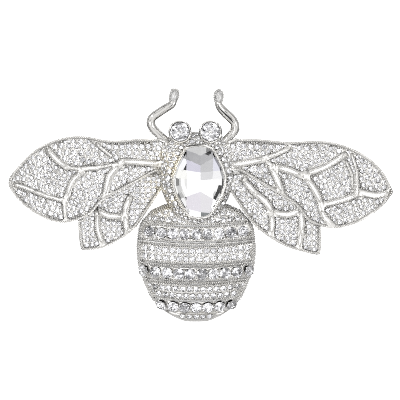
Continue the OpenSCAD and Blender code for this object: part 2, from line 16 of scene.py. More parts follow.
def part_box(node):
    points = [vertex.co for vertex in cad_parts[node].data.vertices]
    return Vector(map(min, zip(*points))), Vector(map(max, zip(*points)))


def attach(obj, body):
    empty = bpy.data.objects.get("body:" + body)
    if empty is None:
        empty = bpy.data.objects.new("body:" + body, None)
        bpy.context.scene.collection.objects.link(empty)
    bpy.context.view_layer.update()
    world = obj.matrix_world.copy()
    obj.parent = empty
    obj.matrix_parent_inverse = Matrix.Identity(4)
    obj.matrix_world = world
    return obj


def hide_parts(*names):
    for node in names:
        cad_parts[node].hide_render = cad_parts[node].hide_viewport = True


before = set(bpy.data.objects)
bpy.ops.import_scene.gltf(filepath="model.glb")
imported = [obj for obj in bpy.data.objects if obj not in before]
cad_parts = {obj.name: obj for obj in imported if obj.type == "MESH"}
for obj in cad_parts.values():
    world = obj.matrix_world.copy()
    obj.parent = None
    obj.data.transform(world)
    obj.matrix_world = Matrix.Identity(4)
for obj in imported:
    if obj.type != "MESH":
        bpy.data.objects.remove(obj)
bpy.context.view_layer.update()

bl_info = {
    "name": "Bee Brooch",
    "version": (1, 0, 0),
    "blender": (4, 5, 0),
    "location": "3D View > Sidebar > Bee Brooch",
    "description": "Dresses the cast frame of a bee brooch with cut stones, beading and antennae",
    "category": "Object",
}

METAL, CRYSTAL = "rhodium_metal", "crystal"
# What the names of the nodes with a single large stone hold
ROW = "row_stone_"
UP = Vector((0, 0, 1))
MM = 0.001
# Points closer than this are one point, in metres
SAME = 1e-7

# Sizes from here on are in millimetres. FLAT is how far a face looks up: 1 on top, 0 on a wall.
# The body's middle line and the wings' arch, as the frame was cast
SHIFT_X, SHIFT_Y = -0.65, 4.6
LEFT_REACH, RIGHT_REACH, WING_RISE = 38.0, 39.3, 5.5
# Heights above a wing's underside: stone floors and rims of the front and hind wings
FORE_FLOOR, FORE_RIM, HIND_FLOOR, HIND_RIM = 0.8, 1.2, -0.2, 0.2
# The body's half width where the wings' floors begin, and how near a height has to match
BODY_HALF, LEVEL_SLACK, RIM_SLACK, THORAX_SLACK = 6.0, 0.09, 0.05, 0.22
# Upright walls of the wings, left duller than their tops and painted lighter as painted light
# against their shade
WALL_FROM, WALL_FLAT = 6.5, 0.6
# Thorax, as cast. Columns: share of its length, share of half its width, share of its height
THORAX_TOP, THORAX_L, THORAX_W, THORAX_BASE, THORAX_H, THORAX_OFF = 10.0, 18.4, 14.8, 3.9, 4.1, -0.2
THORAX_POWER, THORAX_EDGE = 4.0, 0.97
THORAX = np.array([
    (0, .30, .34), (.025, .50, .42), (.065, .88, .54), (.137, .95, .68), (.214, .97, .82),
    (.322, 1, .95), (.445, 1, 1), (.553, .98, 1), (.639, .93, .97), (.72, .86, .96),
    (.79, .76, .95), (.872, .62, .90), (.949, .42, .80), (1, .18, .62),
])
# The thorax as seen from above, up to the foot of the setting, and its sides above the wings
THORAX_HALF, THORAX_END, COLLAR_FOOT, OVER_WING = 8.2, 12.4, 8.1, 0.15
CHEST_FLAT, SIDE_FLAT, FLANK_FLAT = 0.35, 0.9, 0.08
# The abdomen as seen from above, and how far its bands may turn away or lean up and down
BELLY_TOP, BELLY_HALF, BELLY_FOOT, BELLY_PEAK = 0.6, 12.3, 0.5, 7.6
BAND_FLAT, BAND_LEAN = 0.28, 0.55
# Grooves in the abdomen, their grains, the plain half width and where the grains thicken
GROOVE_DIP, GROOVE_REACH = 0.2, 0.6
GRAIN, GRAIN_STEP, PLAIN_HALF, PLAIN_FADE = 0.16, 0.36, 1.5, 5.0

# The map of the casting: places across and along, its step, the height that its rays start from,
# cells that room looks round, reach of a stone's clearance, and clearance where nothing is near
STEP, SKY, CELLS, REACH, OPEN = 0.1, 20, 12, 1.4, 9.0
XS, YS = np.arange(-39.0, 39.0, STEP), np.arange(-19.5, 15.5, STEP)

# Stones: the eyes' crown, the centre stone's widest plane and edge, a small stone's lift
EYE_CROWN, STONE_Z, GIRDLE_T, STONE_GAP = 0.6, 8.3, 0.4, 0.06
# Cut stones of radius 1: depth, height of the star, swell of the keel, width of the point
PAVILION, STAR_UP, KEEL_SWELL, POINT = 0.80, 0.52, 1.06, 0.03
# Share by which a large stone's seat is cut on towards the head: a crescent of the seat shows,
# painted near black as painted shade
LARGE_SEAT_UP = 0.18
# Fine beads: share of their room, radius on steep ground, lean into a wall and over a stone
BEAD_SHARE, FLANK_BEAD, WALL_SLACK, STONE_SLACK = 0.85, 0.2, 0.16, 0.07
WING_BEADS, CHEST_BEADS, BELLY_BEADS = (0.24, 0.2, 0.17, 0.13), (0.2, 0.16, 0.13), (0.24, 0.2, 0.16)
# Claws at a row stone: gap, their largest share of the stone, largest radius, and their corners
CLAW_GAP, CLAW_SHARE, CLAW = 0.03, 0.22, 0.17
CLAW_CORNERS = ((1, .62), (1, -.62), (-1, .62), (-1, -.62))
# Rows of beads on the wings: inward from a rim, a slot and a vein, then step, sink and spacing
INSETS = {"rim": 0.26, "slot": 0.21, "vein": 0.20}
BEAD_STEP, BEAD_SINK, RIM_APART, VEIN_APART = 1.04, 0.02, 0.82, 0.62
# An edge falls at least so far, one over the open falls further, and a slot is a short loop
EDGE_FALL, OPEN_FALL, SLOT_LENGTH, CLOSED = 0.1, 0.62, 22, 0.1

# Centre stone. Facets on its back from its middle: columns across, then rows from the top as
# heights at the left, on the keel and at the right, then each facet's grey of painted reflection
BACK_KEEL, BACK_SIDE, BACK_DEPTH, BACK_UNEVEN = 0.3, 2.5, 0.28, 0.07
BACK_COLUMNS = (-2.4, 0.3, 2.7)
BACK_ROWS = (
    (6.3, 5.2, 6.3), (4.5, 3.3, 4.6), (2.3, 1.9, 2.1), (0.6, 0.3, 0.5), (-2.9, -1.9, -3.2),
    (-5.2, -5.9, -6.2))
BACK_PAINTED_REFLECTIONS = (
    ((.56, .56, .56), (.46, .46, .46), (.48, .48, .48), (.56, .56, .56)),
    ((.52, .52, .53), (.31, .31, .32), (.33, .33, .34), (.48, .48, .49)),
    ((.72, .72, .74), (.48, .47, .54), (.42, .42, .43), (.56, .56, .62)),
    ((.72, .72, .70), (.80, .80, .81), (.52, .52, .53), (.66, .66, .67)),
    ((.74, .74, .73), (.93, .93, .93), (.93, .93, .93), (.74, .74, .74)),
    ((.68, .68, .68), (.57, .55, .59), (.57, .56, .58), (.66, .66, .66)),
    ((.74, .74, .74), (.90, .90, .90), (.16, .17, .17), (.64, .64, .64)),
)
# The upright edge of the stone, which is silvered too
UPRIGHT, GIRDLE_TONE = 0.3, (0.92, 0.92, 0.93)
# Section of the lip that holds it: out from its edge and up from its widest plane
LIP = ((-0.02, 0.06), (0.05, 0.16), (0.30, 0.16), (0.30, 0.08), (0.06, 0.06))
# Grains along its setting: out, up or none to follow the metal, radius, step
EDGE_ROWS = ((0.16, 0.12, 0.2, 0.42), (0.56, None, 0.27, 0.6))

# Antennae. Columns: share of the reach, share of the length, rise, share of the radius
ANTENNA_Y, ANTENNA_L, ANTENNA_REACH, ANTENNA_R, ANTENNA_Z = 8.55, 10.2, 9.6, 0.8, 5.4
# How much thicker the smooth rod is than the cast one under it
ROD_OVER = 0.02
LEFT_ANTENNA = (
    (.545, -.12, -.2, 1), (.800, .090, .2, 1), (.920, .210, .5, 1), (.975, .325, .8, 1.05),
    (.945, .415, 1, 1.05), (.820, .51, 1.1, 1.03), (.655, .612, 1.2, 1.03), (.540, .680, 1.2, .95),
    (.500, .750, 1.2, .9), (.485, .863, 1.1, .6), (.465, .955, 1, .5), (.457, .983, 1, .4),
)
RIGHT_ANTENNA = (
    (.490, -.12, -.2, 1), (.700, .090, .2, 1), (.768, .165, .4, 1.05), (.785, .245, .6, 1.05),
    (.770, .320, .8, 1.05), (.709, .398, .9, 1.15), (.578, .517, 1.1, 1.15), (.475, .620, 1.2, 1),
    (.435, .700, 1.2, .9), (.425, .790, 1.1, .6), (.440, .875, 1, .5), (.446, .930, 1, .5),
    (.448, .962, 1, .4),
)
# The near-black line of painted shade on the right antenna: its first knot, then inward, up and the
# radius at each knot
DARK_LINE_FROM, DARK_LINE_IN, DARK_LINE_UP = 4, 0.2, 0.94
DARK_LINE_R = (0.05, 0.17, 0.15, 0.09, 0.05)
# Clubs at the antennae's ends: middle, lean in degrees and half sizes
LEFT_CLUB = (-5.33, 21.75, 6.6), -14, (0.96, 1.5, 1.05)
RIGHT_CLUB = (3.56, 21.65, 6.6), -3, (0.97, 1.48, 1.05)
# Grains set over a club: how many, their radius, and the turn from each to the next
CLUB_GRAINS, CLUB_GRAIN, GOLDEN_TURN = 84, 0.15, math.pi * (3 - math.sqrt(5))

# Stage: softboxes as azimuth, elevation, distance, width, depth and strength, in metres
SOFTBOXES = (
    (20, 66, 0.80, 0.20, 0.10, 1.0), (215, 60, 0.80, 0.16, 0.10, 0.9),
    (110, 48, 0.80, 0.12, 0.30, 0.9), (300, 52, 0.80, 0.12, 0.30, 1.0),
)
# The place that the picture centres on, and the width of the camera's sensor
PICTURE_CENTRE, SENSOR = (-0.15, 1.02, 5.0), 36.0


# Settings
def size_setting(name, size, description):
    return FloatProperty(
        name=name, description=description, default=size * MM, unit="LENGTH", precision=5)


def colour_setting(name, colour, description):
    return FloatVectorProperty(
        name=name, description=description, default=colour, subtype="COLOR")


class StoneSettings(bpy.types.PropertyGroup):
    """Sizes and tints of the cut stones"""
    wing_largest: size_setting(
        "Largest wing stone", 0.56, "Radius of the largest small stone on the wings")
    wing_smallest: size_setting(
        "Smallest wing stone", 0.28, "Radius of the smallest stone on the wings")
    spacing: size_setting("Spacing", 0.05, "Metal left between two neighbouring small stones")
    tilt: FloatProperty(
        name="Setting tilt", description="How far a stone may lean in its seat",
        default=math.radians(5), subtype="ANGLE")
    seed: IntProperty(name="Seed", description="Start of the random draws", default=7)
    tint: colour_setting("Stone tint", (0.93, 0.93, 0.94), "Palest colour cast of the stones")


class MetalSettings(bpy.types.PropertyGroup):
    """Sizes and colours of the plated metal"""
    bead: size_setting("Rim bead", 0.42, "Diameter of a bead on a wing's rim")
    vein_bead: size_setting("Vein bead", 0.36, "Diameter of a bead beside a slot or vein")
    plating: colour_setting("Plating", (0.65, 0.64, 0.62), "Colour of the bright plating")
    worn: colour_setting(
        "Warm plating", (0.72, 0.66, 0.52), "Colour of the thin plating at the wing roots")


class StageSettings(bpy.types.PropertyGroup):
    """Floor, light and camera"""
    floor: colour_setting("Floor", (0.95, 0.95, 0.95), "Colour of the floor")
    bounce: colour_setting(
        "Floor in reflections", (0.58, 0.58, 0.58), "Colour of the floor as the metal mirrors it")
    field: size_setting("Field", 80, "Width that the camera takes in at the brooch")
    distance: size_setting("Camera height", 900, "Height of the camera above the floor")
    key: FloatProperty(name="Softboxes", description="Strength of the softboxes", default=2.0)
    tent: FloatProperty(
        name="Light tent", description="Strength of the white tent round the brooch", default=1.3)


# Materials
class Wire:
    """A shader socket that Python's arithmetic signs work on"""

    def __init__(self, finish, socket):
        self.finish, self.socket = finish, socket

    def _math(self, operation, first, second):
        return self.finish.node("Math", {"operation": operation}, {0: first, 1: second})

    def __add__(self, other):
        return self._math("ADD", self, other)

    def __sub__(self, other):
        return self._math("SUBTRACT", self, other)

    def __rsub__(self, other):
        return self._math("SUBTRACT", other, self)

    def __mul__(self, other):
        return self._math("MULTIPLY", self, other)

    __radd__, __rmul__ = __add__, __mul__


class Finish:
    """A material, or the world, under construction"""

    def __init__(self, name, kind="materials"):
        self.owner = getattr(bpy.data, kind).new(name)
        self.owner.use_nodes = True
        self.tree = self.owner.node_tree
        self.tree.nodes.clear()

    def node(self, kind, settings=None, sockets=None, out=0):
        """Adds a node, sets it up, fills its sockets and gives back one of its outputs"""
        node = self.tree.nodes.new("ShaderNode" + kind)
        for key, value in (settings or {}).items():
            setattr(node, key, value)
        for key, value in (sockets or {}).items():
            socket = node.inputs[key]
            if isinstance(value, Wire):
                self.tree.links.new(value.socket, socket)
            else:
                socket.default_value = (*value, 1.0) if socket.type == "RGBA" else value
        return Wire(self, node.outputs[out]) if node.outputs else None

    def place(self):
        return self.node("TexCoord", out="Object")

    def axis(self, vector, number):
        return self.node("SeparateXYZ", None, {0: vector}, number)

    def noise(self, scale, detail=2.0, vector=None):
        vector = vector or self.place()
        return self.node("TexNoise", None, {"Vector": vector, "Scale": scale, "Detail": detail})

    def mix(self, factor, first, second):
        return self.node("Mix", {"data_type": "RGBA"}, {0: factor, 6: first, 7: second}, 2)

    def span(self, value, low, high):
        """A value's place between two others, kept within 0 and 1"""
        return self.node("MapRange", None, {"Value": value, "From Min": low, "From Max": high})

    def bump(self, height, strength, depth):
        return self.node(
            "Bump", None, {"Strength": strength, "Distance": depth * MM, "Height": height})

    def done(self, colour, roughness, metallic=1.0, rest=None):
        """Ends in one shader and gives back the material"""
        shader = self.node("BsdfPrincipled", None, {
            "Base Color": colour, "Roughness": roughness, "Metallic": metallic, **(rest or {})})
        self.node("OutputMaterial", None, {"Surface": shader})
        return self.owner


def rgb(colour, painted_shade=1.0):
    return tuple(part * painted_shade for part in colour)[:3]


def plated_metal(name, metal, low, high, relief, painted_shade=1.0):
    """Bright plating with a fine tumbled grain, warmer at the wing roots; a painted shade under 1
    makes a darker copy of it
    """
    f = Finish(name)
    place = f.place()
    across, along = f.axis(place, 0), f.axis(place, 1)
    left = f.span(across, -2 * MM, -5 * MM) * f.span(across, -13 * MM, -8 * MM)
    root = left * f.span(along, -4 * MM, 1 * MM) * f.span(along, 14 * MM, 10 * MM)
    warm = root * f.span(f.noise(260.0, 3.0, place), 0.35, 0.62) * 0.8
    grain = f.noise(2600.0, 3.0, place)
    return f.done(
        f.mix(warm, rgb(metal.plating, painted_shade), rgb(metal.worn, painted_shade)),
        f.span(grain, 0.3, 0.75) * (high - low) + low, 1.0, {"Normal": f.bump(grain, relief, 0.02)})


def crystal_face(name, stones, low, high, bending):
    """The clear upper side of a cut stone, with a cast that comes and goes"""
    f = Finish(name)
    patch = f.span(f.noise(420.0, 1.0), low, high)
    return f.done(
        f.mix(patch, (1.0, 1.0, 1.0), rgb(stones.tint)), 0.0, 0.0,
        {"IOR": bending, "Transmission Weight": 1.0})


def foil_back(name, stones, low, high, cloud):
    """The silvered lower side of a cut stone, duller in patches by the cloud given"""
    f = Finish(name)
    place = f.place()
    patch = f.span(f.noise(900.0, 1.0, place), 0.38, 0.62)
    dull = f.span(f.noise(1300.0, 2.0, place), low, high) * cloud
    bright = f.mix(patch, (0.97, 0.97, 0.98), rgb(stones.tint))
    return f.done(f.mix(dull, bright, (0.22, 0.22, 0.225)), 0.05)


def foil_with_painted_reflections(name):
    """The silvered back of the centre stone, with a painted reflection of its own on each facet"""
    f = Finish(name)
    foil_and_painted_reflection = f.node("Attribute", {"attribute_name": "foil_and_painted_reflection"})
    haze = f.span(f.noise(700.0, 2.0), 0.3, 0.7) * 0.06
    return f.done(f.mix(haze, foil_and_painted_reflection, (0.9, 0.9, 0.93)), 0.05)


def painted_shade_and_light_plating(name, dark, light):
    """Rough plating in a set grey painted in for light and shade: dark as painted shade, light as
    painted light, varied at random by a grain
    """
    f = Finish(name)
    grain = f.span(f.noise(1800.0, 2.0), 0.3, 0.7)
    return f.done(
        f.mix(grain, (dark, dark, dark), (light, light, light)),
        f.span(grain, 0.2, 0.8) * 0.2 + 0.35)


def brushed_steel(name):
    """Pin steel with fine lines along the bar"""
    f = Finish(name)
    lines = f.node("Mapping", None, {"Vector": f.place(), "Scale": (0.05, 1.0, 1.0)})
    grain = f.noise(5200.0, 2.0, lines)
    return f.done(
        f.mix(grain, (0.55, 0.56, 0.58), (0.70, 0.71, 0.72)),
        f.span(grain, 0.2, 0.8) * 0.15 + 0.22, 1.0, {"Normal": f.bump(grain, 0.25, 0.01)})


def paper_floor(name, stage):
    """A white sheet, bright enough to carry hardly any shadow"""
    f = Finish(name)
    seen = f.node("LightPath", out="Is Camera Ray")
    fibre = f.span(f.noise(900.0, 4.0), 0.3, 0.7)
    sheet = f.mix(fibre, rgb(stage.floor), (0.97, 0.97, 0.97))
    return f.done(f.mix(seen, rgb(stage.bounce), sheet), 0.9, 0.0, {
        "Emission Color": f.mix(seen, (0.0, 0.0, 0.0), (1.0, 1.0, 1.0)),
        "Emission Strength": 0.9})


@cache
def finishes():
    """The brooch's materials, made once"""
    stones, metal = bpy.context.scene.brooch_stones, bpy.context.scene.brooch_metal
    return {
        "plate": plated_metal("bright_plating", metal, 0.20, 0.36, 0.2),
        "bead": plated_metal("bead_plating", metal, 0.24, 0.40, 0.15),
        # Polished plating: a darker copy of the plating, as painted shade on the antennae
        "polish": plated_metal("polished_plating", metal, 0.04, 0.12, 0.05, 0.85),
        "face": crystal_face("crystal_face", stones, 0.42, 0.6, 1.58),
        "foil": foil_back("foil_back", stones, 0.5, 0.7, 0.3),
        "soft_foil": foil_back("soft_foil_back", stones, 0.46, 0.56, 0.75),
        "steel": brushed_steel("pin_steel"),
        # Painted shade: near black in the wide seats and the antenna's dark line, dark grey in the
        # small seats, mid grey in the grooves and under the clubs' grains
        "deep": painted_shade_and_light_plating("painted_deep_shade_plating", 0.02, 0.08),
        "painted_seat_shade": painted_shade_and_light_plating("painted_seat_shade_plating", 0.16, 0.42),
        "groove": painted_shade_and_light_plating("painted_gap_shade_plating", 0.36, 0.68),
        # Painted light: a pale grey on the wings' upright walls that lifts their shade
        "wall": painted_shade_and_light_plating("painted_wall_light_plating", 0.62, 0.9),
        "clear": crystal_face("clear_crown", stones, 0.55, 0.95, 1.1),
        "silvered": foil_with_painted_reflections("silvered_back_with_painted_reflections"),
    }


# Shapes
def body_x(x):
    return x - SHIFT_X


def arch_radius(x):
    reach = LEFT_REACH if body_x(x) < 0 else RIGHT_REACH
    return (reach * reach + WING_RISE * WING_RISE) / (2 * WING_RISE)


def arch_z(x, up):
    """Height of a wing's arch at a place across"""
    r = arch_radius(x)
    return math.sqrt((r + up) ** 2 - body_x(x) ** 2) - r + WING_RISE


def arch_normal(x, up):
    return Vector((body_x(x), 0, arch_z(x, up) + arch_radius(x) - WING_RISE)).normalized()


def merged_copy(node):
    """A CAD node's mesh, joined up into a closed bmesh"""
    bm = bmesh.new()
    bm.from_mesh(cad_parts[node].data)
    bmesh.ops.remove_doubles(bm, verts=bm.verts[:], dist=SAME)
    bmesh.ops.dissolve_degenerate(bm, dist=SAME, edges=bm.edges[:])
    return bm


def islands(bm):
    """The separate solids of a bmesh, each as a list of vertices"""
    left = set(bm.verts)
    for first in bm.verts:
        found, reached = [], [first]
        while reached:
            v = reached.pop()
            if v in left:
                left.discard(v)
                found.append(v)
                reached.extend(e.other_vert(v) for e in v.link_edges)
        if found:
            yield sorted(found, key=lambda v: v.index)


def mesh_of(name, bm, turn_out=False):
    """Turns a bmesh into a mesh, with its faces turned outwards on request"""
    if turn_out:
        bmesh.ops.recalc_face_normals(bm, faces=bm.faces[:])
    mesh = bpy.data.meshes.new(name)
    bm.to_mesh(mesh)
    bm.free()
    return mesh


def laid_out(name, data):
    """A new object in the scene"""
    item = bpy.data.objects.new(name, data)
    bpy.context.scene.collection.objects.link(item)
    return item


def applied(item):
    """An object's mesh with its modifiers or its bevel applied"""
    graph = bpy.context.evaluated_depsgraph_get()
    return bpy.data.meshes.new_from_object(item.evaluated_get(graph), depsgraph=graph)


def put(name, mesh, slot, materials, replaces=()):
    """Makes a finished piece of a mesh and hands it to the frame"""
    piece = laid_out(name, mesh)
    for material in materials:
        mesh.materials.append(material)
    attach(piece, "root")
    if replaces:
        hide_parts(*replaces)


def stamped(name, jobs):
    """One mesh of many templates, each placed by its matrix"""
    bm = bmesh.new()
    for template, matrix in jobs:
        copy = template.copy()
        copy.transform(matrix)
        bm.from_mesh(copy)
        bpy.data.meshes.remove(copy)
    return mesh_of(name, bm)


def ring(bm, radius, z, count, turn=0.0):
    bmesh.ops.create_circle(
        bm, cap_ends=False, segments=count, radius=radius,
        matrix=Matrix.Translation((0, 0, z)) @ Matrix.Rotation(turn, 4, "Z"))


def hull(bm):
    """Closes the points of a bmesh into one convex, flat-faceted solid"""
    made = bmesh.ops.convex_hull(bm, input=bm.verts[:])
    spare = {g for g in made["geom_interior"] + made["geom_unused"] if isinstance(g, BMVert)}
    bmesh.ops.delete(bm, geom=list(spare), context="VERTS")
    bmesh.ops.delete(bm, geom=[e for e in bm.edges if not e.link_faces], context="EDGES")
    bmesh.ops.dissolve_limit(
        bm, angle_limit=math.radians(0.6), verts=bm.verts[:], edges=bm.edges[:])


def cut_template(name, sides, table, crown, girdle, pavilion, star=0.0, keel=0.0, uneven=0.0):
    """A round cut stone of radius 1 with its widest plane at 0: clear above, silvered below"""
    bm = bmesh.new()
    draw = random.Random(name)
    step = math.pi / sides
    ring(bm, table, crown, sides)
    if star:
        ring(bm, star, crown * STAR_UP, sides, step)
    edge = sides * 2 if star else sides
    ring(bm, 1.0, 0.0, edge)
    ring(bm, 1.0, -girdle, edge)
    if keel:
        ring(bm, keel, -girdle - pavilion * (1 - keel) * KEEL_SWELL, sides, step)
    ring(bm, POINT, -girdle - pavilion, sides)
    for v in bm.verts:
        if v.co.z < -girdle * 1.01:
            shake = draw.uniform(-1, 1), draw.uniform(-1, 1), draw.uniform(-1, 0)
            v.co += Vector(shake) * uneven
    hull(bm)
    for face in bm.faces:
        face.material_index = int(face.calc_center_median().z < -girdle * 0.99)
    return mesh_of(name, bm, True)


def bead_template(name, round_steps, tall_steps):
    """A smooth round bead of radius 1"""
    bm = bmesh.new()
    bmesh.ops.create_uvsphere(bm, u_segments=round_steps, v_segments=tall_steps, radius=1.0)
    for face in bm.faces:
        face.smooth = True
    return mesh_of(name, bm)


def seat_template(name, low, high, depth, finish=0):
    """The cone that is drilled for a stone of radius 1, from above its edge to its point"""
    bm = bmesh.new()
    bmesh.ops.create_cone(
        bm, cap_ends=True, segments=12, radius1=low, radius2=high, depth=depth,
        matrix=Matrix.Translation((0, 0, -depth / 2)))
    lid = max(bm.faces, key=lambda face: face.calc_center_median().z)
    grown = bmesh.ops.extrude_face_region(bm, geom=[lid])["geom"]
    bmesh.ops.delete(bm, geom=[lid], context="FACES_ONLY")
    bmesh.ops.translate(bm, vec=UP * 0.5, verts=[g for g in grown if isinstance(g, BMVert)])
    # The faces take the finish slot given, which carries a painted shade for the seat
    for face in bm.faces:
        face.material_index = finish
    return mesh_of(name, bm, True)


@cache
def templates():
    """The shapes that repeat, made once with radius 1"""
    return {
        "small": cut_template("small_cut", 8, 0.58, 0.42, 0.05, PAVILION),
        "large": cut_template("large_cut", 8, 0.58, 0.40, 0.06, 0.82, 0.80, 0.45, 0.05),
        "eye": cut_template("eye_cut", 10, 0.54, 0.36, 0.08, 0.80, 0.80, 0.50, 0.09),
        "bead": bead_template("bead", 8, 5),
        "club": bead_template("club", 32, 20),
        "seat": seat_template("seat", 0.10, 0.94, PAVILION + 0.1),
        # The wide seat takes the second finish, a near-black painted shade
        "wide_seat": seat_template("wide_seat", 0.22, 1.04, PAVILION + 0.32, finish=1),
    }


# The bench: what the pieces share
class Stone:
    """Where a stone or bead sits: the middle of its widest plane, its facing and its radius"""

    def __init__(self, place, normal, radius):
        self.place, self.normal, self.radius = place, normal, radius

    def matrix(self, turn=0.0, share=1.0):
        """What stands a template of radius 1 on this place"""
        size = self.radius * share
        facing = self.normal.to_track_quat("Z", "Y").to_matrix().to_4x4()
        return Matrix.Translation(self.place) @ facing @ Matrix.Rotation(
            turn, 4, "Z") @ Matrix.Diagonal((size, size, size, 1.0))


def cad_stones(node):
    """Reads the place, direction and size of each stone in a CAD node"""
    bm = merged_copy(node)
    found = []
    for part in islands(bm):
        points = np.array([v.co for v in part])
        middle = points.mean(0)
        facing = np.linalg.eigh(np.cov((points - middle).T))[1][:, 0]
        facing = facing if facing[2] > 0 else -facing
        height = (points - middle) @ facing
        out = np.linalg.norm(points - middle - np.outer(height, facing), axis=1)
        edge = out > out.max() * 0.98
        place = middle + facing * height[edge].mean()
        found.append(Stone(Vector(place), Vector(facing), float(out.max())))
    bm.free()
    return found


def seat_room(stone):
    """The room that a large stone takes, with its seat's crescent"""
    up = Vector((0, stone.radius * LARGE_SEAT_UP, 0))
    return Stone(stone.place + up, stone.normal, stone.radius * (1 + LARGE_SEAT_UP))


def graded(largest, smallest, count):
    return [largest + (smallest - largest) * k / (count - 1) for k in range(count)]


def thorax_z(x, y):
    """Height of the cast thorax at a place, or -1 beside it"""
    s = (THORAX_TOP - (y - SHIFT_Y)) / THORAX_L
    if not 0 < s < 1:
        return -1.0
    wide = np.interp(s, THORAX[:, 0], THORAX[:, 1]) * THORAX_W / 2
    tall = np.interp(s, THORAX[:, 0], THORAX[:, 2]) * THORAX_H
    u = abs(body_x(x) - THORAX_OFF) / wide
    if u >= THORAX_EDGE:
        return -1.0
    return THORAX_BASE + tall * (1 - u ** THORAX_POWER) ** (1 / THORAX_POWER)


def dip(height):
    """How far a place lies under the surface just above it and just below it in the picture"""
    above = below = height
    for k in range(1, round(GROOVE_REACH / STEP) + 1):
        above = np.maximum(above, np.roll(height, -k, axis=0))
        below = np.maximum(below, np.roll(height, k, axis=0))
    return np.minimum(above, below) - height


def room(mask):
    """Distance from each marked place to the nearest edge"""
    reach = CELLS
    out = np.where(mask, (reach + 1) * STEP, 0.0)
    solid = np.pad(~mask, reach, constant_values=True)
    rows, cols = mask.shape
    for dy in range(-reach, reach + 1):
        for dx in range(-reach, reach + 1):
            gap = math.hypot(dx, dy) * STEP
            if 0 < gap <= reach * STEP:
                near = solid[reach + dy:reach + dy + rows, reach + dx:reach + dx + cols]
                np.minimum(out, np.where(near, gap, out), out=out)
    return out - STEP / 2


def take(clear, x, y, radius):
    """Lowers the clearance round a round thing"""
    reach = radius + REACH
    i0, i1 = np.searchsorted(XS, (x - reach, x + reach))
    j0, j1 = np.searchsorted(YS, (y - reach, y + reach))
    away = np.hypot(XS[None, i0:i1] - x, YS[j0:j1, None] - y) - radius
    clear[j0:j1, i0:i1] = np.minimum(clear[j0:j1, i0:i1], away)


def pack(clear, radii, gap, tightest=True):
    """Fills room with circles, largest first, each where it fits most closely or loosely"""
    spots = []
    for radius in radii:
        while (clear >= radius).any():
            best = np.where(clear >= radius, clear, np.inf).argmin() if tightest else clear.argmax()
            j, i = np.unravel_index(best, clear.shape)
            spots.append((XS[i], YS[j], radius))
            take(clear, XS[i], YS[j], radius + gap)
    return spots


